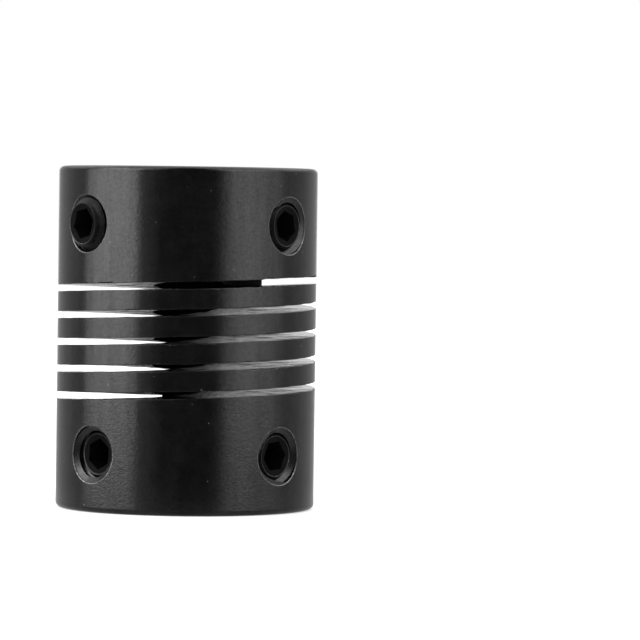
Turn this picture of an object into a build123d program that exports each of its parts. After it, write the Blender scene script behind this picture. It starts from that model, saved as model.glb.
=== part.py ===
from build123d import *
import math
import os

# Helical beam shaft coupling, in millimetres.
# It stands on one end with its axis on Z and the middle of that end at the origin.
# Azimuths are in degrees, from the front (-Y) towards the right (+X).

# Body
body_diameter = 19.0
body_length = 25.0
rim_chamfer = 0.3

# How far a cutter runs past the surfaces that it cuts
overcut = 0.5

# Bore, the same in both clamping ends
bore_diameter = 5.0
bore_chamfer = 0.5

# Helical slot that turns the middle of the body into a flexible beam
slot_width = 0.5
slot_pitch = 1.96
slot_start_azimuth = -112.5
slot_sweep = 4 * 360.0 + 195.0
slot_facet_sweep = 22.5

# Saw that cuts the slot, as it plunges in at the lower end and runs out at the upper end
saw_diameter = 22.0
saw_overcut = 0.1
plunge_azimuth = -120.0
runout_azimuth = 90.0
runout_lean_azimuth = -15.0

# From each end of the slot to where the saw's lips meet the helix's lips
saw_meeting_sweep = 22.5

# Tapped holes for the set screws, measured from the end that each pair is near
screw_inset = 4.2
upper_screw_azimuth = 50.5
lower_screw_azimuth = 46.0
thread_clearance = 0.05

# Set screws with a hex socket and a cup point
screw_diameter = 4.0
screw_length = 5.0
screw_end_chamfer = 0.47
socket_width = 2.0
socket_depth = 2.0
socket_mouth = 2.9
socket_mouth_depth = 0.3
point_diameter = 2.5
cup_diameter = 2.0
cup_angle = 120.0

# How far each screw's face lies below the body's surface
upper_left_recess = -0.35
upper_right_recess = 0.27
lower_left_recess = 0.75
lower_right_recess = 0.45

# Each screw: its side of the front, the end it is near, its recess, and how far it was
# turned when it was last driven
screws = {
    "set_screw_upper_left": (-1, "top", upper_left_recess, 12.0),
    "set_screw_upper_right": (1, "top", upper_right_recess, 40.0),
    "set_screw_lower_left": (-1, "bottom", lower_left_recess, 25.0),
    "set_screw_lower_right": (1, "bottom", lower_right_recess, 5.0),
}

body_radius = body_diameter / 2
bore_radius = bore_diameter / 2
wall = body_radius - bore_radius
screw_radius = screw_diameter / 2
slot_start_height = (body_length - slot_pitch * slot_sweep / 360) / 2


def outward(azimuth):
    """Unit vector from the axis to the side at this azimuth."""
    angle = math.radians(azimuth)
    return Vector(math.sin(angle), -math.cos(angle), 0)


def onward(azimuth):
    """Unit vector along the surface, towards growing azimuth."""
    angle = math.radians(azimuth)
    return Vector(math.cos(angle), math.sin(angle), 0)


def blank():
    """Turned cylinder with broken rims, bored through and chamfered at both mouths."""
    base = (Align.CENTER, Align.CENTER, Align.MIN)
    turned = Cylinder(body_radius, body_length, align=base)
    turned = chamfer(turned.edges().filter_by(GeomType.CIRCLE), rim_chamfer)
    turned -= Cylinder(bore_radius, body_length, align=base)
    mouths = turned.edges().filter_by(GeomType.CIRCLE).sort_by(SortBy.RADIUS)[:2]
    return chamfer(mouths, bore_chamfer)


def slot_section(turned):
    """Corners of the slot's section where the helix has turned this far from its start."""
    direction = outward(slot_start_azimuth + turned)
    middle = Vector(0, 0, slot_start_height + slot_pitch * turned / 360)
    half_width = Vector(0, 0, slot_width / 2)
    inner = middle + direction * (bore_radius - overcut)
    chord_allowance = math.cos(math.radians(slot_facet_sweep / 2))
    outer = middle + direction * ((body_radius + overcut) / chord_allowance)
    return inner - half_width, outer - half_width, outer + half_width, inner + half_width


def facet(*corners):
    """Flat face with straight sides between these corners."""
    return Face(Wire.make_polygon(corners, close=True))


def helical_cut():
    """Section carried along the helix in short turns, with flat facets from one to the next.

    Flat facets follow the helix within 0.05 mm, and mesh into far fewer triangles than
    one long twisted face.
    """
    count = round(slot_sweep / slot_facet_sweep)
    sections = [slot_section(slot_sweep * step / count) for step in range(count + 1)]
    faces = [facet(*sections[0]), facet(*sections[-1])]
    for (a, b, c, d), (e, f, g, h) in zip(sections, sections[1:]):
        lower_wall = [facet(a, b, f), facet(a, f, e)]
        upper_wall = [facet(d, c, g), facet(d, g, h)]
        faces += lower_wall + upper_wall + [facet(a, d, h, e), facet(b, c, g, f)]
    return Solid(Shell(faces))


def saw_cut(azimuth, lean_azimuth, turned):
    """Saw at full depth, where the helix has turned this far from its start.

    Its plane leans by the helix angle about the line at lean_azimuth, and its lips meet
    the helix's lips on the body's surface.
    """
    slope = slot_pitch / (math.pi * (body_radius + bore_radius))
    meeting = math.radians(slot_start_azimuth + turned - lean_azimuth)
    meeting_height = slot_start_height + slot_pitch * turned / 360
    height = meeting_height - slope * body_radius * math.sin(meeting)
    normal = Vector(0, 0, 1) - onward(lean_azimuth) * slope
    plane = Plane((0, 0, height), x_dir=outward(lean_azimuth), z_dir=normal)
    reach = saw_diameter / 2 + bore_radius - saw_overcut
    swing = math.radians(azimuth - lean_azimuth)
    centre = Pos(reach * math.cos(swing), reach * math.sin(swing), 0)
    return plane * centre * Cylinder(saw_diameter / 2, slot_width)


def screw_plane(side, end):
    """Plane on the body's surface at a screw hole, with its normal pointing out."""
    height = body_length - screw_inset if end == "top" else screw_inset
    azimuth = upper_screw_azimuth if end == "top" else lower_screw_azimuth
    normal = outward(side * azimuth)
    return Plane(normal * body_radius + Vector(0, 0, height), x_dir=(0, 0, 1), z_dir=normal)


def screw_hole(side, end):
    """Tapped hole from the outside into the bore."""
    radius = screw_radius + thread_clearance
    reach = (Align.CENTER, Align.CENTER, Align.MAX)
    hole = Pos(0, 0, overcut) * Cylinder(radius, wall + bore_radius, align=reach)
    return screw_plane(side, end) * hole


def coupling_body():
    """The one turned, slit and tapped piece."""
    body = blank() - helical_cut()
    body -= saw_cut(plunge_azimuth, plunge_azimuth, saw_meeting_sweep)
    body -= saw_cut(runout_azimuth, runout_lean_azimuth, slot_sweep - saw_meeting_sweep)
    for side, end, _, _ in screws.values():
        body -= screw_hole(side, end)
    return body


def set_screw(side, end, recess, turn):
    """Screw on its own axis, then seated in its hole."""
    face = (Align.CENTER, Align.CENTER, Align.MAX)
    screw = Cylinder(screw_radius, screw_length, align=face)
    top = screw.edges().group_by(Axis.Z)[-1]
    screw = chamfer(top, screw_end_chamfer)
    tip = screw.edges().group_by(Axis.Z)[0]
    screw = chamfer(tip, (screw_diameter - point_diameter) / 2)
    socket = extrude(RegularPolygon(socket_width / 2, 6, major_radius=False), -socket_depth)
    mouth = Cone(socket_width / 2, socket_mouth / 2, socket_mouth_depth, align=face)
    cup_depth = cup_diameter / 2 / math.tan(math.radians(cup_angle / 2))
    base = (Align.CENTER, Align.CENTER, Align.MIN)
    cup = Pos(0, 0, -screw_length) * Cone(cup_diameter / 2, 0, cup_depth, align=base)
    screw = screw - socket - mouth - cup
    return screw_plane(side, end) * Pos(0, 0, -recess) * Rot(0, 0, turn) * screw


os.makedirs("parts", exist_ok=True)
export_step(coupling_body(), "parts/coupling_body.step")
for name, place in screws.items():
    export_step(set_screw(*place), f"parts/{name}.step")
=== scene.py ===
import math

import bmesh
import bpy
from bpy.props import FloatProperty, FloatVectorProperty, PointerProperty
from mathutils import Matrix, Vector


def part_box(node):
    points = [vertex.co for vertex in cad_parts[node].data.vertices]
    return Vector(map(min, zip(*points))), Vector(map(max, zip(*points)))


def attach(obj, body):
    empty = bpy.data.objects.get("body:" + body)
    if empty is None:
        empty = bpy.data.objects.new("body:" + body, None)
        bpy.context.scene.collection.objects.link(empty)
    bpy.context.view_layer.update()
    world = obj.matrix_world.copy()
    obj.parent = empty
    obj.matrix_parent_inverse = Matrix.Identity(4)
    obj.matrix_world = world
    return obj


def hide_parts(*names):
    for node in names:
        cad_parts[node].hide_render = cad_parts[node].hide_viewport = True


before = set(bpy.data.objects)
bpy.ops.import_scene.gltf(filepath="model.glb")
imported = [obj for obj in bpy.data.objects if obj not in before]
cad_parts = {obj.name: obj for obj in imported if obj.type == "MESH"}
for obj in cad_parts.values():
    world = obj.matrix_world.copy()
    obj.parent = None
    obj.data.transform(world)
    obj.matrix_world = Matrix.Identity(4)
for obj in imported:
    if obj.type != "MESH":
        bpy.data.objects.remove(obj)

bl_info = {
    "name": "Helical Beam Coupling",
    "version": (1, 0, 0),
    "blender": (4, 5, 0),
    "location": "3D View > Sidebar > Coupling",
    "description": "Dresses a helical beam shaft coupling with its finishes, threads and edges",
    "category": "Object",
}

MM = 0.001
BODY = "root"
BODY_NODE = "coupling_body"
LOW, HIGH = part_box(BODY_NODE)
BODY_RADIUS = round((HIGH.x - LOW.x) / 2 / MM, 3)
BODY_LENGTH = round((HIGH.z - LOW.z) / MM, 3)

# Columns around the body, one every 1.25 degrees
COLUMNS = 288
STEP = 360.0 / COLUMNS

# Material slots of the body's mesh
SKIN, FACE, EDGE, WALL, BORE, HOLE, BRIM = range(7)

# What one screw hole takes out of the body, in cubic mm, and by which share a cut may miss it
HOLE_VOLUME = 94.7
HOLE_TOLERANCE = 0.1

# Material slots of a screw's mesh
STEEL, SOCKET, RIM = range(3)

# Each screw: its side of the front, whether it is near the top, how far its face lies
# below the body's surface in mm, and how far it was turned when last driven
SCREWS = {
    "set_screw_upper_left": (-1, True, -0.35, 12.0),
    "set_screw_upper_right": (1, True, 0.27, 40.0),
    "set_screw_lower_left": (-1, False, 0.75, 25.0),
    "set_screw_lower_right": (1, False, 0.45, 5.0),
}

# Points closer than this are one point, in mm: within a face, and over a whole mesh
SAME_CORNER, SAME_POINT = 1e-6, 1e-4

# Where the slot's walls have points, as shares of the way outwards, and a rounding, in degrees
WALL_SHARES = (0.0, 0.2, 0.4, 0.6, 0.8, 1.0)
LIP_TURNS = (0.0, 30.0, 60.0, 90.0)

# Lips: how uneven their rounding is, and how wide, how rare and how large its nicks are
LIP_UNEVENNESS = 0.16
NICK_COLUMNS, NICK_THRESHOLD, NICK_GROWTH = 3, 0.87, 1.4

# Waves of the slot's walls: height in mm, radians to the mm along X, Y and Z, and the shift
# between the two walls. This share of them reaches the skin.
WAVES = (
    (0.016, 1.9, 1.3, 2.6, 1.0),
    (0.016, 1.1, -2.3, -1.7, 2.0),
    (0.009, 4.3, 0.9, 1.3, -1.0),
    (0.009, 3.1, 4.7, -3.9, 3.0),
)
WAVE_AT_SKIN = 0.45

# Cutter of a hole: points around it, its start above the axis and its end past the skin, in mm
HOLE_STEPS, HOLE_BOTTOM, HOLE_OVERCUT = 96, 0.4, 1.5

# Ridge of thread in a hole: points in a turn, how deep it is sunk into the wall in mm, its
# section as mm outwards and pitches along the hole, and where and over what it fades in mm
RIDGE_STEPS, RIDGE_SUNK = 48, 0.03
RIDGE = ((RIDGE_SUNK, -0.44), (-0.34, -0.06), (-0.34, 0.06), (RIDGE_SUNK, 0.44))
RIDGE_STOP, RIDGE_FADE = 0.05, 0.12

# Screw: points around it, rows in a turn of thread, crest and flank in shares of half a pitch
SCREW_STEPS, THREAD_ROWS, CREST_SHARE, FLANK_SHARE = 72, 12, 0.12, 0.7

# Screw, in mm: drill's hollow in the socket, fold in its mouth, land around the cup, cup's bottom
DRILL_RADIUS, DRILL_DEPTH = 0.3, 0.15
FOLD_INSET, FOLD_DEPTH = 0.03, 0.02
CUP_LAND, CUP_BOTTOM = 0.25, 0.05

# Angles in degrees over which faces meet sharply
BODY_SHARP, SCREW_SHARP = 32, 28

# Finishes: how fine their grain, dust and bare spots are, and the colour of dust
GRAIN_SCALE, DUST_SCALE, SPOT_SCALE = 5.0, 1.8, 7.0
DUST_COLOUR = (0.11, 0.11, 0.107, 1.0)

# What the grain does to tone and roughness, and the turning marks to metal and roughness
DARKER, LIGHTER, GRAIN_ROUGHNESS = 0.75, 1.3, 0.03
STREAK_METAL, STREAK_ROUGHNESS = 0.16, 0.025

# How metallic a bare spot is, and what a height of 1 stands for in the bump, in metres
BARE_METAL, BUMP_DISTANCE = 0.9, 0.000002

# Panels of the two softboxes: from and to which azimuth each reaches, and its share of the
# strength, which fades towards the edges
LEFT_PANELS = ((-100, -90, 0.5), (-90, -78, 0.9), (-78, -54, 1.0), (-54, -45, 0.9))
RIGHT_PANELS = (
    (31, 37, 0.4), (37, 44, 0.75), (44, 60, 1.0), (60, 72, 0.8), (72, 84, 0.55), (84, 93, 0.3),
)

# Softboxes, in metres from the body's axis and lower end
LAMP_DISTANCE, LAMP_BOTTOM, LAMP_TOP = 0.5, -0.03, 0.57

# Room: where, in a direction's parts, its roof grows bright, its front opening ends, its roof
# closes over that opening, and its backdrop starts, and how dark the opening is
ROOF, OPENING = (0.3, 0.75), (-0.93, -0.80)
OVERHEAD, BACKDROP = (0.93, 1.0), (0.96, 0.985)
OPENING_LIGHT = 0.02

# Floor: half of its width and its height in mm, the share of it that the metal doesn't show
# beside the body, and between which distances in mm the rest fades there
FLOOR_REACH, FLOOR_LEVEL = 900.0, -0.02
FLOOR_HIDDEN, FLOOR_FADE = 0.7, (15.0, 30.0)


def number(name, text, default, **kind):
    """Plain number, such as a brightness."""
    return FloatProperty(name=name, description=text, default=default, **kind)


def length(name, text, default):
    """Size, kept as a plain number of millimetres."""
    return number(name, text + ", in mm", default, min=0.0, precision=3)


def degrees(name, text, default):
    """Azimuth from the front towards the right, or a turn."""
    return number(name, text + ", in degrees", default)


def colour(name, text, default):
    """Linear colour."""
    return FloatVectorProperty(
        name=name, description=text, default=default, subtype="COLOR", size=3, min=0.0, max=1.0
    )


class CouplingBodySettings(bpy.types.PropertyGroup):
    """Sizes and finish of the slit body."""

    rim_radius: length("Rim radius", "Rounding of the two outer rims", 0.4)
    bore_radius: length("Bore radius", "Half of the bore's diameter", 2.5)
    bore_chamfer: length("Bore chamfer", "Chamfer at both mouths of the bore", 0.5)
    slot_width: length("Slot width", "Height of the helical slot", 0.5)
    slot_pitch: length("Slot pitch", "Rise of the slot in one turn", 1.96)
    slot_start: degrees("Slot start", "Azimuth where the helix starts", -112.5)
    slot_sweep: degrees("Slot sweep", "Turn of the helix", 1635.0)
    saw_radius: length("Saw radius", "Half of the saw's diameter", 11.0)
    saw_overcut: length("Saw overcut", "How far the saw reaches into the bore", 0.1)
    plunge: degrees("Plunge", "Azimuth where the saw plunges in", -120.0)
    runout: degrees("Run-out", "Azimuth where the saw runs out", 90.0)
    runout_lean: degrees("Run-out lean", "Azimuth about which the saw leans there", -15.0)
    saw_meeting: degrees("Saw meeting", "From the slot's ends to where saw and helix meet", 22.5)
    lip_break: length("Lip break", "Rounding of the slot's outer lips", 0.045)
    hole_radius: length("Hole radius", "Half of a tapped hole's diameter", 2.05)
    hole_break: length("Hole break", "Rounding of the holes' mouths", 0.09)
    screw_inset: length("Screw inset", "From each end to the holes' axes", 4.2)
    upper_azimuth: degrees("Upper azimuth", "Azimuth of the upper holes to each side", 50.5)
    lower_azimuth: degrees("Lower azimuth", "Azimuth of the lower holes to each side", 46.0)
    skin_colour: colour("Skin colour", "Anodised layer", (0.006, 0.006, 0.0062))
    wall_colour: colour("Wall colour", "Sawn walls of the slot", (0.008, 0.008, 0.0082))


class SetScrewSettings(bpy.types.PropertyGroup):
    """Sizes and finish of the four set screws."""

    radius: length("Radius", "Half of the thread's outer diameter", 1.97)
    root_radius: length("Root radius", "Radius at the bottom of the thread", 1.56)
    thread_pitch: length("Thread pitch", "Advance in one turn", 0.7)
    screw_length: length("Length", "Length of each screw", 5.0)
    end_chamfer: length("End chamfer", "Chamfer around the socket end", 0.47)
    point_radius: length("Point radius", "Radius of the cup point", 1.25)
    cup_depth: length("Cup depth", "Depth of the cup", 0.57)
    socket_width: length("Socket width", "Across the flats of the hex socket", 2.0)
    socket_depth: length("Socket depth", "Depth of the hex socket", 2.0)
    mouth_radius: length("Mouth radius", "Radius of the socket's round mouth", 1.46)
    mouth_depth: length("Mouth depth", "Depth of the socket's round mouth", 0.12)
    steel_colour: colour("Steel colour", "Blackened steel", (0.0055, 0.0055, 0.0056))


class StudioSettings(bpy.types.PropertyGroup):
    """Camera, lamps and floor."""

    eye_distance: length("Eye distance", "From the body's axis to the camera", 298.6)
    eye_height: length("Eye height", "From the body's lower end up to the camera", 22.0)
    yaw: number("Yaw", "Turn of the camera to the right", 0.0328, subtype="ANGLE")
    pitch: number("Pitch", "Tilt of the camera down", 0.0271, subtype="ANGLE")
    roll: number("Roll", "Turn of the camera about its line of sight", 0.0136, subtype="ANGLE")
    lens: number("Lens", "Focal length for a 36 mm sensor", 228.3, unit="CAMERA")
    left_strength: number("Left lamp", "Radiance of the left softbox", 3.45)
    right_strength: number("Right lamp", "Radiance of the right softbox", 1.85)
    surround: number("Surround", "Brightness of the room's sides in the metal", 0.45)
    roof: number("Roof", "Brightness of the tent's roof in the metal", 1.9)
    daylight: number("Daylight", "Soft light from all around", 0.8)
    floor_glow: number("Floor glow", "What the camera sees added to the floor", 0.5)
    floor_colour: colour("Floor colour", "Plain floor", (0.86, 0.86, 0.86))


def outward(azimuth):
    """Unit vector from the axis to the side at this azimuth."""
    angle = math.radians(azimuth)
    return Vector((math.sin(angle), -math.cos(angle), 0.0))


def link(obj, body=BODY):
    """Puts an object in the scene, and on a body if one is given."""
    bpy.context.scene.collection.objects.link(obj)
    if body:
        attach(obj, body)
    return obj


def mesh_object(name, points, faces, slots=None):
    """Smooth object from points in mm and faces, with a material slot number for each face."""
    mesh = bpy.data.meshes.new(name)
    mesh.from_pydata([Vector(p) * MM for p in points], [], faces)
    if slots is not None:
        mesh.polygons.foreach_set("material_index", slots)
    mesh.polygons.foreach_set("use_smooth", [True] * len(mesh.polygons))
    mesh.update()
    return bpy.data.objects.new(name, mesh)


def around(a, b):
    """Each point of a closed ring with the next one, and the same of another ring."""
    return zip(a, (*a[1:], a[0]), b, (*b[1:], b[0]))


class Shell:
    """Points and faces of a mesh, with points that are found again by a key."""

    def __init__(self):
        self.points, self.faces, self.slots, self.index = [], [], [], {}

    def point(self, key, position):
        if key not in self.index:
            self.index[key] = len(self.points)
            self.points.append(tuple(position))
        return self.index[key]

    def apart(self, one, other):
        """Whether two points lie in different places."""
        return (Vector(self.points[one]) - Vector(self.points[other])).length > SAME_CORNER

    def face(self, corners, slot):
        """Adds a face, and leaves out corners that fall on one point."""
        kept = []
        for corner in corners:
            if not kept or self.apart(corner, kept[-1]):
                kept.append(corner)
        while len(kept) > 1 and not self.apart(kept[0], kept[-1]):
            kept.pop()
        if len(kept) > 2:
            self.faces.append(kept)
            self.slots.append(slot)


class SlotCutters:
    """The helical cutter and the saw at both ends of it, and what they leave at each column."""

    def __init__(self, s):
        self.s = s
        self.base = (BODY_LENGTH - s.slot_pitch * (s.slot_sweep / 360.0)) / 2
        self.slope = s.slot_pitch / (math.pi * (BODY_RADIUS + s.bore_radius))
        self.reach = s.saw_radius + s.bore_radius - s.saw_overcut
        slot_end = s.slot_start + s.slot_sweep
        self.first_helix = round(s.slot_start / STEP)
        self.last_helix = round(slot_end / STEP)
        runout = s.runout + 360.0 * round((slot_end - s.runout) / 360.0)
        self.saws = (
            (round(s.plunge / STEP), s.plunge, s.slot_start + s.saw_meeting),
            (round(runout / STEP), s.runout_lean, slot_end - s.saw_meeting),
        )
        self.outer_half = math.floor(self.half_angle(BODY_RADIUS) / STEP)
        self.inner_half = round(self.half_angle(s.bore_radius) / STEP)
        self.first = self.saws[0][0] - self.outer_half
        self.last = self.saws[1][0] + self.outer_half
        self.first_open = self.saws[0][0] - self.inner_half
        self.last_open = self.saws[1][0] + self.inner_half

    def half_angle(self, radius):
        """Half of the turn that the saw cuts at this radius, in degrees."""
        cosine = (radius**2 + self.reach**2 - self.s.saw_radius**2) / (2 * radius * self.reach)
        return math.degrees(math.acos(cosine))

    def helix_height(self, column):
        """Height of the helix's middle at this column."""
        return self.base + self.s.slot_pitch * (column * STEP - self.s.slot_start) / 360.0

    def saw_height(self, saw, column, radius):
        """Height of the leaning saw's middle there."""
        _, lean, meeting = self.saws[saw]
        level = self.helix_height(meeting / STEP)
        level -= self.slope * BODY_RADIUS * math.sin(math.radians(meeting - lean))
        return level + self.slope * radius * math.sin(math.radians(column * STEP - lean))

    def saw_edge(self, saw, column):
        """Radius of the saw's edge at this column."""
        if abs(column - self.saws[saw][0]) <= self.inner_half:
            return self.s.bore_radius
        turn = math.radians((column - self.saws[saw][0]) * STEP)
        half_chord = math.sqrt(self.s.saw_radius**2 - (self.reach * math.sin(turn)) ** 2)
        return self.reach * math.cos(turn) - half_chord

    def saw_at(self, column):
        """Which of the two saws reaches this column, if any."""
        for saw, (centre, _, _) in enumerate(self.saws):
            if abs(column - centre) <= self.outer_half:
                return saw
        return None

    def stations(self):
        """Columns along the slot, each with whether the helical cutter has been there."""
        before = [(column, False) for column in range(self.first, self.first_helix + 1)]
        within = [(column, True) for column in range(self.first_helix, self.last_helix + 1)]
        after = [(column, False) for column in range(self.last_helix, self.last + 1)]
        return before + within + after

    def inner_radius(self, station):
        """Radius of the slot's inner end at this station."""
        column, helix = station
        return self.s.bore_radius if helix else self.saw_edge(self.saw_at(column), column)

    def is_open(self, station):
        """Whether the slot runs into the bore at this station."""
        return abs(self.inner_radius(station) - self.s.bore_radius) < SAME_CORNER

    def walls(self, station, outer_limit):
        """Points (radius, lower, upper) from the slot's inner end to its outer lip."""
        column, helix = station
        saw = self.saw_at(column)
        start = self.inner_radius(station)
        if not helix:
            middle = start
        elif saw is None:
            middle = self.saw_edge(0, self.saws[0][0] + self.outer_half)
        else:
            middle = self.saw_edge(saw, column)
        middle = max(start, min(middle, outer_limit))
        half = self.s.slot_width / 2
        level = self.helix_height(column)
        rows = []
        for share in WALL_SHARES:
            radius = start + (middle - start) * share
            height = level if helix else self.saw_height(saw, column, radius)
            rows.append((radius, height - half, height + half))
        for share in WALL_SHARES:
            radius = middle + (outer_limit - middle) * share
            heights = [level] if helix else []
            if saw is not None:
                heights.append(self.saw_height(saw, column, radius))
            rows.append((radius, min(heights) - half, max(heights) + half))
        return rows


def scatter(number, side):
    """Number between 0 and 1 that follows no pattern from one whole number to the next."""
    value = math.sin(number * 12.9898 + side * 78.233) * 43758.5453
    return value - math.floor(value)


def lip_wear(column, side):
    """Share by which a slot lip's rounding grows at a column, with short nicks and burrs."""
    waves = math.sin(column * 1.7 + side * 2.1) + math.sin(column * 0.61 + side)
    waves += math.sin(column * 0.23 + 3.0 * side)
    nicked = scatter(column // NICK_COLUMNS, side) > NICK_THRESHOLD
    return 1.0 + LIP_UNEVENNESS * waves + (NICK_GROWTH if nicked else 0.0)


def add_slot(shell, cutters, s):
    """Walls, lips, inner ends and end caps of the slot.

    Returns the slot's lower and upper points on the skin and on the bore, by column. A column
    where the slot has a step holds two pairs, one for each side of the step.
    """
    skin, bore, rows_by_station = {}, {}, []
    for station in cutters.stations():
        column = station[0]
        azimuth = column * STEP
        side_vector = outward(azimuth)
        depth = BODY_RADIUS - cutters.inner_radius(station)
        at_end = column in (cutters.first, cutters.last)
        rows = {}
        for side in (-1, 1):
            rounding = 0.0 if at_end else min(s.lip_break * lip_wear(column, side), depth / 2)
            walls = cutters.walls(station, BODY_RADIUS - rounding)
            line = [(radius, lower if side < 0 else upper) for radius, lower, upper in walls]
            lip = line[-1][1]
            for turn in reversed(LIP_TURNS[:-1]):
                angle = math.radians(turn)
                radius = BODY_RADIUS - rounding * (1 - math.cos(angle))
                line.append((radius, lip + side * rounding * (1 - math.sin(angle))))
            rows[side] = [
                shell.point((station, side, row), side_vector * radius + Vector((0, 0, height)))
                for row, (radius, height) in enumerate(line)
            ]
        skin.setdefault(column, []).append((rows[-1][-1], rows[1][-1]))
        if cutters.is_open(station):
            bore.setdefault(column, []).append((rows[-1][0], rows[1][0]))
        rows_by_station.append((station, rows))
    wall_rows = 2 * len(WALL_SHARES)
    for (near, near_rows), (far, far_rows) in zip(rows_by_station, rows_by_station[1:]):
        for side in (-1, 1):
            a, b = near_rows[side], far_rows[side]
            for row in range(len(a) - 1):
                slot = WALL if row < wall_rows - 1 else EDGE
                corners = [a[row], b[row], b[row + 1], a[row + 1]]
                shell.face(corners if side < 0 else corners[::-1], slot)
        if not (cutters.is_open(near) and cutters.is_open(far)):
            ends = [near_rows[-1][0], near_rows[1][0], far_rows[1][0], far_rows[-1][0]]
            shell.face(ends, BORE)
    first, last = rows_by_station[0][1], rows_by_station[-1][1]
    shell.face(first[-1] + first[1][::-1], BORE)
    shell.face(last[1] + last[-1][::-1], BORE)
    return skin, bore


def add_lands(shell, pairs, first, last, bottom, top, slot, outside):
    """Quads of a round surface between the slot's turns, from the bottom ring to the top ring.

    pairs holds the slot's lower and upper points by column, from the first column to the last.
    """
    at_place = {place: [] for place in range(COLUMNS)}
    for column, held in pairs.items():
        for pair in held:
            at_place[column % COLUMNS] += pair
    for place in range(COLUMNS):
        left, right = place, (place + 1) % COLUMNS
        lower = [(bottom[left], bottom[right])]
        upper = []
        lowest = place + COLUMNS * math.ceil((first - place) / COLUMNS)
        for column in range(lowest, last, COLUMNS):
            leaving, coming = pairs[column][-1], pairs[column + 1][0]
            upper.append((leaving[0], coming[0]))
            lower.append((leaving[1], coming[1]))
        upper.append((top[left], top[right]))
        for (low_left, low_right), (high_left, high_right) in zip(lower, upper):
            rising = between(shell, at_place[right], low_right, high_right)
            falling = between(shell, at_place[left], low_left, high_left)[::-1]
            corners = [low_left, low_right, *rising, high_right, high_left, *falling]
            shell.face(corners if outside else corners[::-1], slot)


def between(shell, corners, low, high):
    """Those corners that lie between two heights, from the lower to the upper."""
    bottom, top = shell.points[low][2], shell.points[high][2]
    heights = {corner: shell.points[corner][2] for corner in corners}
    found = {one for one in corners if one not in (low, high) and bottom < heights[one] < top}
    return sorted(found, key=heights.get)


def add_end(shell, s, upward):
    """Rim, end face and bore chamfer at one end.

    Returns the rings that the skin and the bore start from.
    """
    profile = []
    for turn in range(0, 91, 15):
        angle = math.radians(turn)
        radius = BODY_RADIUS - s.rim_radius * (1 - math.cos(angle))
        profile.append((radius, s.rim_radius * (1 - math.sin(angle)), SKIN))
    middle = (BODY_RADIUS + s.bore_radius) / 2
    profile.append((middle, 0.0, FACE))
    profile.append((s.bore_radius + s.bore_chamfer, 0.0, FACE))
    profile.append((s.bore_radius, s.bore_chamfer, BORE))
    rings = []
    for row, (radius, depth, _) in enumerate(profile):
        height = BODY_LENGTH - depth if upward else depth
        ring = []
        for place in range(COLUMNS):
            position = outward(place * STEP) * radius + Vector((0, 0, height))
            ring.append(shell.point(("end", upward, row, place), position))
        rings.append(ring)
    for a, b, (_, _, slot) in zip(rings, rings[1:], profile[1:]):
        for here, after, inner, inner_after in around(a, b):
            corners = [here, after, inner_after, inner]
            shell.face(corners if upward else corners[::-1], slot)
    return rings[0], rings[-1]


def hole_frame(s, side, near_top):
    """Matrix of a screw hole in mm: x up, z outwards, its origin on the body's axis."""
    azimuth = side * (s.upper_azimuth if near_top else s.lower_azimuth)
    out = outward(azimuth)
    up = Vector((0, 0, 1))
    turned = Matrix((up, out.cross(up), out)).transposed().to_4x4()
    height = BODY_LENGTH - s.screw_inset if near_top else s.screw_inset
    return Matrix.Translation((0, 0, height)) @ turned


def hole_cutter(s, side, near_top):
    """Solid that cuts a screw hole, with a mouth that widens along the curved surface.

    A ring of it lies at a lift above the body's surface, or at a level above its axis.
    """
    shell = Shell()
    place = hole_frame(s, side, near_top)
    profile = [(0.0, None, HOLE_BOTTOM)]
    for turn in LIP_TURNS:
        angle = math.radians(turn)
        spread = s.hole_break * (1 - math.cos(angle))
        profile.append((spread, -s.hole_break * (1 - math.sin(angle)), None))
    profile.append((s.hole_break, HOLE_OVERCUT, None))
    rings = []
    for row, (spread, lift, level) in enumerate(profile):
        ring = []
        for step in range(HOLE_STEPS):
            angle = 2 * math.pi * step / HOLE_STEPS
            radius = s.hole_radius + spread
            x, y = radius * math.cos(angle), radius * math.sin(angle)
            depth = level if level is not None else math.sqrt(BODY_RADIUS**2 - y * y) + lift
            ring.append(shell.point((row, step), place @ Vector((x, y, depth))))
        rings.append(ring)
    for row, (a, b) in enumerate(zip(rings, rings[1:])):
        slot = BRIM if 1 <= row < len(LIP_TURNS) else HOLE
        for here, after, above, above_after in around(a, b):
            shell.face([here, after, above_after, above], slot)
    shell.face(rings[0][::-1], HOLE)
    shell.face(rings[-1], HOLE)
    return shell


def add_hole_thread(shell, s, pitch, side, near_top, recess):
    """Ridge of thread from three pitches below the screw's face to the hole's mouth.

    It is an open strip, whose two edges are sunk into the hole's wall.
    """
    place = hole_frame(s, side, near_top)
    low = BODY_RADIUS - recess - 3 * pitch
    turns = math.ceil((BODY_RADIUS + pitch - low) / pitch)
    rows = []
    for step in range(turns * RIDGE_STEPS + 1):
        angle = 2 * math.pi * step / RIDGE_STEPS
        depth = low + pitch * step / RIDGE_STEPS
        y = s.hole_radius * math.sin(angle)
        surface = math.sqrt(BODY_RADIUS**2 - y * y)
        row = []
        for number, (rise, along) in enumerate(RIDGE):
            level = depth + along * pitch
            fade = min(1.0, max(0.0, (surface - RIDGE_STOP - level) / RIDGE_FADE))
            radius = s.hole_radius + RIDGE_SUNK + (rise - RIDGE_SUNK) * fade
            level = min(level, surface - s.hole_break)
            point = place @ Vector((radius * math.cos(angle), radius * math.sin(angle), level))
            row.append(shell.point(("thread", side, near_top, step, number), point))
        rows.append(row)
    for a, b in zip(rows, rows[1:]):
        for number in range(len(RIDGE) - 1):
            shell.face([a[number], a[number + 1], b[number + 1], b[number]], HOLE)


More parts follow.
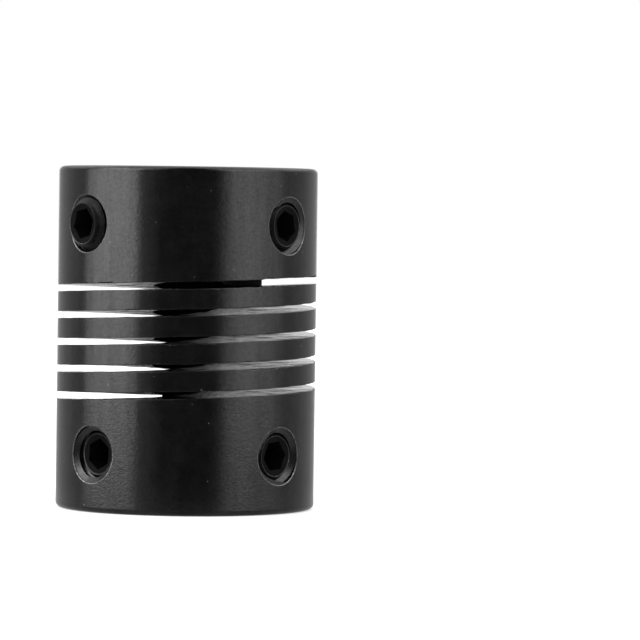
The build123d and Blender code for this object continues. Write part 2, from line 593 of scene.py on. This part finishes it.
def body_shell(s):
    """The turned and slit body before its holes."""
    cutters = SlotCutters(s)
    shell = Shell()
    bottom_skin, bottom_bore = add_end(shell, s, False)
    top_skin, top_bore = add_end(shell, s, True)
    skin, bore = add_slot(shell, cutters, s)
    ends = cutters.first, cutters.last
    add_lands(shell, skin, *ends, bottom_skin, top_skin, SKIN, True)
    open_ends = cutters.first_open, cutters.last_open
    add_lands(shell, bore, *open_ends, bottom_bore, top_bore, BORE, False)
    return shell


def close_up(mesh):
    """Joins points that fall together and turns every face outwards."""
    work = bmesh.new()
    work.from_mesh(mesh)
    bmesh.ops.remove_doubles(work, verts=work.verts, dist=SAME_POINT * MM)
    bmesh.ops.recalc_face_normals(work, faces=work.faces)
    work.to_mesh(mesh)
    work.free()


def join(mesh, shell):
    """Adds a shell's faces to a mesh."""
    added = mesh_object("added", shell.points, shell.faces, shell.slots).data
    work = bmesh.new()
    work.from_mesh(mesh)
    work.from_mesh(added)
    work.to_mesh(mesh)
    work.free()
    bpy.data.meshes.remove(added)


def cut_holes(body, s):
    """Cuts the four screw holes by exact booleans, and stops if a cut isn't whole."""
    for name, (side, near_top, _, _) in SCREWS.items():
        shell = hole_cutter(s, side, near_top)
        tool = mesh_object(name + "_cutter", shell.points, shell.faces, shell.slots)
        link(tool, body=None)
        close_up(tool.data)
        for material in body.data.materials:
            tool.data.materials.append(material)
        cut = body.modifiers.new("hole", "BOOLEAN")
        cut.operation = "DIFFERENCE"
        cut.solver = "EXACT"
        cut.object = tool
        bpy.context.view_layer.update()
        seen = body.evaluated_get(bpy.context.evaluated_depsgraph_get())
        mesh = bpy.data.meshes.new_from_object(seen)
        body.modifiers.clear()
        old = body.data
        removed = closed_volume(old) - closed_volume(mesh)
        if abs(removed / HOLE_VOLUME - 1) > HOLE_TOLERANCE:
            raise RuntimeError(f"The hole of {name} took {removed:.2f} cubic mm out of the body")
        body.data = mesh
        bpy.data.meshes.remove(old)
        bpy.data.objects.remove(tool)


def wave_walls(mesh, s):
    """Moves the slot's walls up and down a little, as a saw that wanders leaves them."""
    facing = {}
    for face in mesh.polygons:
        if face.material_index in (WALL, EDGE):
            for corner in face.vertices:
                facing[corner] = facing.get(corner, 0.0) + face.normal.z * face.area
    for corner, upward in facing.items():
        x, y, z = mesh.vertices[corner].co / MM
        side = -1 if upward > 0 else 1
        wave = sum(h * math.sin(a * x + b * y + c * z + d * side) for h, a, b, c, d in WAVES)
        depth = (BODY_RADIUS - math.hypot(x, y)) / (BODY_RADIUS - s.bore_radius)
        share = WAVE_AT_SKIN + (1 - WAVE_AT_SKIN) * depth
        mesh.vertices[corner].co.z += wave * share * MM


def closed_volume(mesh):
    """Volume of a mesh in cubic mm, once it is sure that nothing in it is open."""
    work = bmesh.new()
    work.from_mesh(mesh)
    open_edges = sum(not edge.is_manifold for edge in work.edges)
    volume = work.calc_volume() / MM**3
    work.free()
    if open_edges:
        raise RuntimeError(f"{mesh.name} has {open_edges} open edges")
    return volume


def dress_normals(mesh, s):
    """Exact normals of the turned surfaces, and plain smooth ones elsewhere."""
    mesh.set_sharp_from_angle(angle=math.radians(BODY_SHARP))
    normals = [Vector((0, 0, 0))] * len(mesh.loops)
    for face in mesh.polygons:
        if face.material_index not in (SKIN, FACE):
            continue
        for loop in face.loop_indices:
            x, y, z = mesh.vertices[mesh.loops[loop].vertex_index].co / MM
            up = Vector((0, 0, 1 if z > BODY_LENGTH / 2 else -1))
            if face.material_index == FACE:
                normals[loop] = up
                continue
            radial = Vector((x, y, 0)).normalized()
            drop = max(s.rim_radius - z, s.rim_radius - (BODY_LENGTH - z), 0.0) / s.rim_radius
            angle = math.asin(min(drop, 1.0))
            normals[loop] = radial * math.cos(angle) + up * math.sin(angle)
    mesh.normals_split_custom_set([tuple(normal) for normal in normals])


def hex_radius(width, angle):
    """Radius of a hexagon across these flats, at an angle from the middle of a flat."""
    inside = (angle + math.pi / 6) % (math.pi / 3) - math.pi / 6
    return width / 2 / math.cos(inside)


def thread_radius(s, angle, height):
    """Radius of a screw's thread, cut down by the chamfer at its face and by its point's cone."""
    phase = (height / s.thread_pitch - angle / (2 * math.pi)) % 1.0
    away = abs(phase - 0.5) * 2
    share = min(1.0, max(0.0, (away - CREST_SHARE) / FLANK_SHARE))
    radius = s.radius - (s.radius - s.root_radius) * share
    chamfer = s.radius - s.end_chamfer - height
    return min(radius, chamfer, s.point_radius + (height + s.screw_length))


def screw_shell(s, turn):
    """Threaded set screw on its own axis, its face at z = 0 and its point downwards."""
    shell = Shell()
    spin = math.radians(turn)
    angles = [2 * math.pi * step / SCREW_STEPS + spin for step in range(SCREW_STEPS)]

    def ring(key, radii, heights):
        """Points all around. Radii and heights are one number, or a list with one for each."""
        made = []
        for step, angle in enumerate(angles):
            radius = radii[step] if isinstance(radii, list) else radii
            height = heights[step] if isinstance(heights, list) else heights
            position = (radius * math.cos(angle), radius * math.sin(angle), height)
            made.append(shell.point((key, step), position))
        return made

    def skin(rings, slots):
        """Faces from each ring to the next, with one material slot for each band."""
        for a, b, slot in zip(rings, rings[1:], slots):
            for here, after, next_here, next_after in around(a, b):
                shell.face([here, next_here, next_after, after], slot)

    hexagon = [hex_radius(s.socket_width, angle - spin) for angle in angles]
    mouth_width = s.mouth_radius - s.socket_width / 2
    cone = [-s.mouth_depth * (s.mouth_radius - radius) / mouth_width for radius in hexagon]
    inner_flat = s.radius - s.end_chamfer
    head = [
        ring("floor centre", DRILL_RADIUS, -s.socket_depth - DRILL_DEPTH),
        ring("floor", hexagon, -s.socket_depth),
        ring("hex top", hexagon, cone),
        ring("mouth", s.mouth_radius - FOLD_INSET, -FOLD_DEPTH),
        ring("flat", inner_flat, 0.0),
        ring("chamfer", s.root_radius, inner_flat - s.root_radius),
    ]
    skin(head, (SOCKET, SOCKET, SOCKET, RIM, STEEL))
    shell.face(head[0], SOCKET)

    count = round(s.screw_length / s.thread_pitch * THREAD_ROWS)
    thread = [head[-1]]
    for level in range(1, count + 1):
        height = -s.screw_length * level / count
        radii = [thread_radius(s, angle, height) for angle in angles]
        thread.append(ring(("thread", level), radii, height))
    thread.append(ring("cup rim", s.point_radius - CUP_LAND, -s.screw_length))
    thread.append(ring("cup", CUP_BOTTOM, -s.screw_length + s.cup_depth))
    skin(thread, [STEEL] * len(thread))
    shell.face(thread[-1][::-1], STEEL)
    return shell


class Nodes:
    """Shorthand for building a node tree."""

    def __init__(self, tree):
        self.tree = tree

    def add(self, kind, inputs=None, **settings):
        """Adds a node with these settings, then fills in its inputs."""
        node = self.tree.nodes.new(kind)
        for key, value in settings.items():
            setattr(node, key, value)
        for key, value in (inputs or {}).items():
            self.put(node.inputs[key], value)
        return node

    def put(self, socket, value):
        """Sets a socket to a plain value, or joins it to another node's socket."""
        if isinstance(value, bpy.types.NodeSocket):
            self.tree.links.new(value, socket)
        else:
            socket.default_value = value

    def math(self, operation, first, second=0.0, clamp=False):
        inputs = {0: first, 1: second}
        return self.add("ShaderNodeMath", inputs, operation=operation, use_clamp=clamp).outputs[0]

    def vector(self, operation, inputs, output=0):
        return self.add("ShaderNodeVectorMath", inputs, operation=operation).outputs[output]

    def spread(self, value, low, high, to_low=0.0, to_high=1.0):
        """Value between low and high, spread over another range and held at its ends."""
        inputs = dict(enumerate((value, low, high, to_low, to_high)))
        return self.add("ShaderNodeMapRange", inputs).outputs["Result"]

    def noise(self, vector, scale, detail=2.0, roughness=0.5):
        inputs = {"Vector": vector, "Scale": scale, "Detail": detail, "Roughness": roughness}
        return self.add("ShaderNodeTexNoise", inputs).outputs["Fac"]

    def mix(self, factor, first, second):
        node = self.add("ShaderNodeMix", data_type="RGBA")
        for number, value in ((0, factor), (6, first), (7, second)):
            self.put(node.inputs[number], value)
        return node.outputs[2]

    def across(self, parts):
        """Length of a vector's flat part."""
        squares = [self.math("MULTIPLY", parts[axis], parts[axis]) for axis in ("X", "Y")]
        return self.math("SQRT", self.math("ADD", *squares))

    def group(self, tree, place, **numbers):
        """Adds an effect that the finishes share. Returns its outputs."""
        inputs = {"Vector": place, **numbers}
        return self.add("ShaderNodeGroup", inputs, node_tree=tree).outputs


def effect(name, numbers, outputs, build):
    """Node group that takes a place and these numbers (name to default), filled in by build."""
    group = bpy.data.node_groups.new(name, "ShaderNodeTree")
    group.interface.new_socket("Vector", in_out="INPUT", socket_type="NodeSocketVector")
    for key, default in numbers.items():
        socket = group.interface.new_socket(key, in_out="INPUT", socket_type="NodeSocketFloat")
        socket.default_value = default
    for key in outputs:
        group.interface.new_socket(key, in_out="OUTPUT", socket_type="NodeSocketFloat")
    nodes = Nodes(group)
    source = nodes.add("NodeGroupInput")
    sink = nodes.add("NodeGroupOutput")
    for key, value in build(nodes, source.outputs).items():
        nodes.put(sink.inputs[key], value)
    return group


def turning_marks(nodes, inputs):
    """Fine rings around the turned surface, and slow waves along it."""
    rings = nodes.vector("MULTIPLY", {0: inputs["Vector"], 1: (0.5, 0.5, 14.0)})
    fine = nodes.noise(rings, inputs["Scale"], 3.0, 0.7)
    waves = nodes.vector("MULTIPLY", {0: inputs["Vector"], 1: (1.4, 1.4, 0.12)})
    slow = nodes.noise(waves, inputs["Scale"], 3.0, 0.7)
    return {"Height": fine, "Streak": slow}


def saw_marks(nodes, inputs):
    """Arcs that the saw's teeth leave on the slot's walls."""
    parts = nodes.add("ShaderNodeSeparateXYZ", {0: inputs["Vector"]}).outputs
    turn = nodes.math("MULTIPLY", nodes.math("ARCTAN2", parts["Y"], parts["X"]), 0.9)
    bent = {"X": nodes.across(parts), "Y": turn, "Z": parts["Z"]}
    place = nodes.add("ShaderNodeCombineXYZ", bent)
    marks = nodes.noise(place.outputs[0], inputs["Scale"], 4.0, 0.75)
    return {"Height": marks}


def mottle(nodes, inputs):
    """Grain of the anodised or blackened layer."""
    fine = nodes.noise(inputs["Vector"], inputs["Scale"], 4.0, 0.7)
    coarse = nodes.noise(inputs["Vector"], nodes.math("MULTIPLY", inputs["Scale"], 0.18), 2.0)
    return {"Fine": fine, "Coarse": coarse}


def dust(nodes, inputs):
    """Scattered specks of dust: 1 on a speck."""
    cells = nodes.add("ShaderNodeTexVoronoi", {key: inputs[key] for key in ("Vector", "Scale")})
    size = nodes.add("ShaderNodeSeparateColor", {"Color": cells.outputs["Color"]}).outputs["Red"]
    limit = nodes.math("MULTIPLY", nodes.spread(size, 0.7, 1.0), inputs["Size"])
    return {"Mask": nodes.math("LESS_THAN", cells.outputs["Distance"], limit)}


def bare_spots(nodes, inputs):
    """Spots where the dark layer is worn away: 1 where the metal is bare."""
    fine = nodes.noise(inputs["Vector"], inputs["Scale"], 5.0, 0.75)
    limit = nodes.math("SUBTRACT", 0.68, nodes.math("MULTIPLY", inputs["Amount"], 0.3))
    over = nodes.math("SUBTRACT", fine, limit)
    return {"Mask": nodes.math("MULTIPLY", over, 14.0, clamp=True)}


# Effects that the finishes share: node group, its numbers, its outputs and what fills it in
EFFECTS = {
    "marks": ("turning_marks", {"Scale": 1.0}, ("Height", "Streak"), turning_marks),
    "saw": ("saw_marks", {"Scale": 1.2}, ("Height",), saw_marks),
    "mottle": ("layer_grain", {"Scale": 5.0}, ("Fine", "Coarse"), mottle),
    "dust": ("dust_specks", {"Scale": 1.0, "Size": 0.05}, ("Mask",), dust),
    "spots": ("bare_spots", {"Scale": 3.0, "Amount": 0.2}, ("Mask",), bare_spots),
}


def shared_effects():
    """Node groups of the effects, made when they are first asked for."""
    made = bpy.data.node_groups
    return {
        key: made[name] if name in made else effect(name, *recipe)
        for key, (name, *recipe) in EFFECTS.items()
    }


def new_material(name):
    """Material with its nodes, its shader and the place on the object in mm."""
    material = bpy.data.materials.new(name)
    material.use_nodes = True
    nodes = Nodes(material.node_tree)
    shader = material.node_tree.nodes["Principled BSDF"]
    place = nodes.add("ShaderNodeTexCoord").outputs["Object"]
    return material, nodes, shader, nodes.vector("SCALE", {0: place, 3: 1000.0})


def metal_finish(
    name, tint, roughness, lines="marks", line_scale=1.0, line_depth=1.0, grain_depth=1.0,
    pores=0.3, dusty=0.0, worn=0.0, bare=0.3, shine=0.5,
):
    """Dark finish with turning or saw marks and a grain, a little uneven in tone and gloss.

    Dusty is the size of its specks of dust, worn how much of it is bare, and bare the grey there.
    """
    effects = shared_effects()
    material, nodes, shader, place = new_material(name)
    marks = nodes.group(effects[lines], place, Scale=line_scale)
    grain = nodes.group(effects["mottle"], place, Scale=GRAIN_SCALE)
    tone = nodes.spread(grain["Coarse"], 0.3, 0.7)
    dark, light = ((*[channel * share for channel in tint], 1.0) for share in (DARKER, LIGHTER))
    base = nodes.mix(tone, dark, light)
    if dusty:
        specks = nodes.group(effects["dust"], place, Scale=DUST_SCALE, Size=dusty)
        base = nodes.mix(specks["Mask"], base, DUST_COLOUR)
    metal = nodes.spread(grain["Fine"], 0.35, 0.65, 0.0, pores)
    if lines == "marks":
        streak = nodes.spread(marks["Streak"], 0.35, 0.65, 0.0, STREAK_METAL)
        metal = nodes.math("ADD", metal, streak)
    if worn:
        spots = nodes.group(effects["spots"], place, Scale=SPOT_SCALE, Amount=worn)["Mask"]
        base = nodes.mix(spots, base, (bare, bare, bare, 1.0))
        metal = nodes.math("MAXIMUM", metal, nodes.math("MULTIPLY", spots, BARE_METAL))
    low, high = roughness - GRAIN_ROUGHNESS, roughness + GRAIN_ROUGHNESS
    rough = nodes.spread(grain["Fine"], 0.25, 0.75, low, high)
    if lines == "marks":
        streak = nodes.spread(marks["Streak"], 0.35, 0.65, -STREAK_ROUGHNESS, STREAK_ROUGHNESS)
        rough = nodes.math("ADD", rough, streak)
    relief = nodes.math("MULTIPLY", marks["Height"], line_depth)
    relief = nodes.math("ADD", relief, nodes.math("MULTIPLY", grain["Fine"], grain_depth))
    inputs = {"Height": relief, "Strength": 1.0, "Distance": BUMP_DISTANCE}
    lift = nodes.add("ShaderNodeBump", inputs).outputs[0]
    nodes.put(shader.inputs["Base Color"], base)
    nodes.put(shader.inputs["Metallic"], metal)
    nodes.put(shader.inputs["Roughness"], rough)
    nodes.put(shader.inputs["Normal"], lift)
    shader.inputs["Specular IOR Level"].default_value = shine
    return material


def body_finishes(s):
    """Materials of the body, in the order of its mesh's slots."""
    skin, wall = s.skin_colour, s.wall_colour
    return (
        metal_finish("anodised_skin", skin, 0.115, line_depth=1.2, grain_depth=4.2, dusty=0.1),
        metal_finish("anodised_end_face", skin, 0.25, line_depth=0, grain_depth=5, shine=0.35),
        metal_finish("anodised_lip", skin, 0.2, grain_depth=4, worn=0.3, bare=0.18),
        metal_finish(
            "sawn_wall", wall, 0.11, lines="saw", line_scale=4, line_depth=14, grain_depth=3,
            pores=0, shine=0.8,
        ),
        metal_finish("anodised_bore", wall, 0.55, line_depth=3, grain_depth=3, shine=0.02),
        metal_finish("tapped_wall", wall, 0.2, grain_depth=4, worn=0.08, bare=0.12, shine=0.55),
        metal_finish("hole_rim", wall, 0.25, grain_depth=4, worn=0.75, bare=0.2, shine=1),
    )


def screw_finishes(s):
    """Materials of a screw, in the order of its mesh's slots."""
    steel = s.steel_colour
    return (
        metal_finish(
            "black_oxide", steel, 0.35, grain_depth=10, dusty=0.14, worn=0.15, bare=0.12, shine=0.12
        ),
        metal_finish("socket_steel", steel, 0.5, grain_depth=10, shine=0.02),
        metal_finish("socket_rim", steel, 0.35, grain_depth=10, worn=0.4, bare=0.12),
    )


class COUPLING_OT_body(bpy.types.Operator):
    """Build the slit body with its holes, threads and finishes"""

    bl_idname = "coupling.body"
    bl_label = "Coupling body"

    def execute(self, context):
        s = context.scene.coupling_body
        shell = body_shell(s)
        body = mesh_object("beam_body", shell.points, shell.faces, shell.slots)
        for finish in body_finishes(s):
            body.data.materials.append(finish)
        link(body)
        close_up(body.data)
        cut_holes(body, s)
        wave_walls(body.data, s)
        threads = Shell()
        pitch = context.scene.coupling_screws.thread_pitch
        for side, near_top, recess, _ in SCREWS.values():
            add_hole_thread(threads, s, pitch, side, near_top, recess)
        join(body.data, threads)
        dress_normals(body.data, s)
        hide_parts(BODY_NODE)
        return {"FINISHED"}


class COUPLING_OT_screws(bpy.types.Operator):
    """Build the four threaded set screws in their holes"""

    bl_idname = "coupling.screws"
    bl_label = "Set screws"

    def execute(self, context):
        s = context.scene.coupling_screws
        body = context.scene.coupling_body
        finishes = screw_finishes(s)
        for name, (side, near_top, recess, turn) in SCREWS.items():
            shell = screw_shell(s, turn)
            seat = hole_frame(body, side, near_top)
            seat @= Matrix.Translation((0, 0, BODY_RADIUS - recess))
            points = [seat @ Vector(point) for point in shell.points]
            new_name = name.replace("set_screw", "socket_screw")
            screw = mesh_object(new_name, points, shell.faces, shell.slots)
            screw.data.set_sharp_from_angle(angle=math.radians(SCREW_SHARP))
            for finish in finishes:
                screw.data.materials.append(finish)
            link(screw)
            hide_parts(name)
        return {"FINISHED"}


def softbox(name, panels, strength):
    """Upright panels that stand side by side on an arc and face the body."""
    for number, (start, end, share) in enumerate(panels):
        azimuth = (start + end) / 2
        panel = bpy.data.lights.new(f"{name}_{number}", "AREA")
        panel.shape = "RECTANGLE"
        panel.size = 2 * LAMP_DISTANCE * math.tan(math.radians((end - start) / 2))
        panel.size_y = LAMP_TOP - LAMP_BOTTOM
        panel.energy = strength * share * panel.size * panel.size_y * math.pi
        lamp = link(bpy.data.objects.new(panel.name, panel), body=None)
        middle = Vector((0, 0, (LAMP_TOP + LAMP_BOTTOM) / 2))
        lamp.location = outward(azimuth) * LAMP_DISTANCE + middle
        lamp.rotation_euler = (math.radians(90), 0, math.radians(azimuth))


class COUPLING_OT_stage(bpy.types.Operator):
    """Build the camera, softboxes, room and floor"""

    bl_idname = "coupling.stage"
    bl_label = "Stage"

    def execute(self, context):
        s = context.scene.coupling_studio
        scene = context.scene
        self.camera(scene, s)
        softbox("left_softbox", LEFT_PANELS, s.left_strength)
        softbox("right_softbox", RIGHT_PANELS, s.right_strength)
        self.room(scene, s)
        self.floor(s)
        scene.view_settings.view_transform = "Standard"
        return {"FINISHED"}

    def camera(self, scene, s):
        """Camera in front of the body, turned, tilted and rolled as the settings say."""
        camera = bpy.data.cameras.new("camera")
        camera.lens = s.lens
        camera.sensor_width = 36.0
        camera.sensor_fit = "HORIZONTAL"
        camera.clip_start = 0.01
        eye = link(bpy.data.objects.new("camera", camera), body=None)
        eye.location = (0.0, -s.eye_distance * MM, s.eye_height * MM)
        level = math.cos(s.pitch)
        sight = Vector((math.sin(s.yaw) * level, math.cos(s.yaw) * level, -math.sin(s.pitch)))
        right = sight.cross(Vector((0, 0, 1))).normalized()
        up = right.cross(sight)
        turned_right = right * math.cos(s.roll) + up * math.sin(s.roll)
        turned_up = up * math.cos(s.roll) - right * math.sin(s.roll)
        eye.rotation_euler = Matrix((turned_right, turned_up, -sight)).transposed().to_euler()
        scene.camera = eye

    def room(self, scene, s):
        """White tent that is open at the front, where the camera looks in."""
        scene.world = world = bpy.data.worlds.new("room")
        world.use_nodes = True
        nodes = Nodes(world.node_tree)
        background = world.node_tree.nodes["Background"]
        path = nodes.add("ShaderNodeLightPath")
        direction = nodes.add("ShaderNodeTexCoord").outputs["Generated"]
        parts = nodes.add("ShaderNodeSeparateXYZ", {0: direction}).outputs
        backward = nodes.math("DIVIDE", parts["Y"], nodes.across(parts))
        roof = nodes.spread(parts["Z"], *ROOF, s.surround, s.roof)
        opening = nodes.spread(backward, *OPENING)
        above = nodes.spread(parts["Z"], *OVERHEAD)
        lit = nodes.math("MULTIPLY", roof, nodes.math("MAXIMUM", opening, above))
        backdrop = nodes.spread(parts["Y"], *BACKDROP, 0.0, 1.0 - s.surround)
        lit = nodes.math("ADD", nodes.math("MAXIMUM", lit, OPENING_LIGHT), backdrop)
        daylight = (s.daylight, s.daylight, s.daylight, 1)
        shown = nodes.mix(path.outputs["Is Glossy Ray"], daylight, lit)
        seen = nodes.mix(path.outputs["Is Camera Ray"], shown, (1, 1, 1, 1))
        nodes.put(background.inputs["Color"], seen)

    def floor(self, s):
        """Pale floor. The metal shows only the part of it right beside the body."""
        corners = ((-1, -1), (1, -1), (1, 1), (-1, 1))
        points = [(x * FLOOR_REACH, y * FLOOR_REACH, FLOOR_LEVEL) for x, y in corners]
        floor = link(mesh_object("floor", points, [(0, 1, 2, 3)]), body=None)
        material, nodes, shader, place = new_material("pale_floor")
        shader.inputs["Base Color"].default_value = (*s.floor_colour, 1.0)
        shader.inputs["Roughness"].default_value = 0.9
        shader.inputs["Specular IOR Level"].default_value = 0.0
        path = nodes.add("ShaderNodeLightPath")
        glow = nodes.mix(path.outputs["Is Camera Ray"], (0, 0, 0, 1), (1, 1, 1, 1))
        nodes.put(shader.inputs["Emission Color"], glow)
        shader.inputs["Emission Strength"].default_value = s.floor_glow
        away = nodes.vector("LENGTH", {0: place}, "Value")
        hidden = nodes.spread(away, *FLOOR_FADE, FLOOR_HIDDEN, 1.0)
        hidden = nodes.math("MULTIPLY", hidden, path.outputs["Is Glossy Ray"])
        below = nodes.add("ShaderNodeNewGeometry").outputs["Backfacing"]
        clear = nodes.math("MAXIMUM", hidden, below)
        nodes.put(shader.inputs["Alpha"], nodes.math("SUBTRACT", 1.0, clear))
        floor.data.materials.append(material)


class COUPLING_PT_panel(bpy.types.Panel):
    """Lists the sizes and finishes, and builds each part"""

    bl_idname = "COUPLING_PT_panel"
    bl_label = "Coupling"
    bl_space_type = "VIEW_3D"
    bl_region_type = "UI"
    bl_category = "Coupling"

    def draw(self, context):
        layout = self.layout
        for group in SETTINGS:
            settings = getattr(context.scene, group)
            box = layout.box()
            for key in settings.__annotations__:
                box.prop(settings, key)
        for operator in OPERATORS:
            layout.operator(operator.bl_idname)


SETTINGS = {
    "coupling_body": CouplingBodySettings,
    "coupling_screws": SetScrewSettings,
    "coupling_studio": StudioSettings,
}
OPERATORS = (COUPLING_OT_body, COUPLING_OT_screws, COUPLING_OT_stage)
CLASSES = (*SETTINGS.values(), *OPERATORS, COUPLING_PT_panel)


def register():
    for cls in CLASSES:
        bpy.utils.register_class(cls)
    for name, cls in SETTINGS.items():
        setattr(bpy.types.Scene, name, PointerProperty(type=cls))


def unregister():
    for name in SETTINGS:
        delattr(bpy.types.Scene, name)
    for cls in reversed(CLASSES):
        bpy.utils.unregister_class(cls)


def main():
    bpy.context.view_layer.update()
    register()
    bpy.ops.coupling.body()
    bpy.ops.coupling.screws()
    bpy.ops.coupling.stage()
    bpy.context.view_layer.update()


if __name__ == "__main__":
    main()
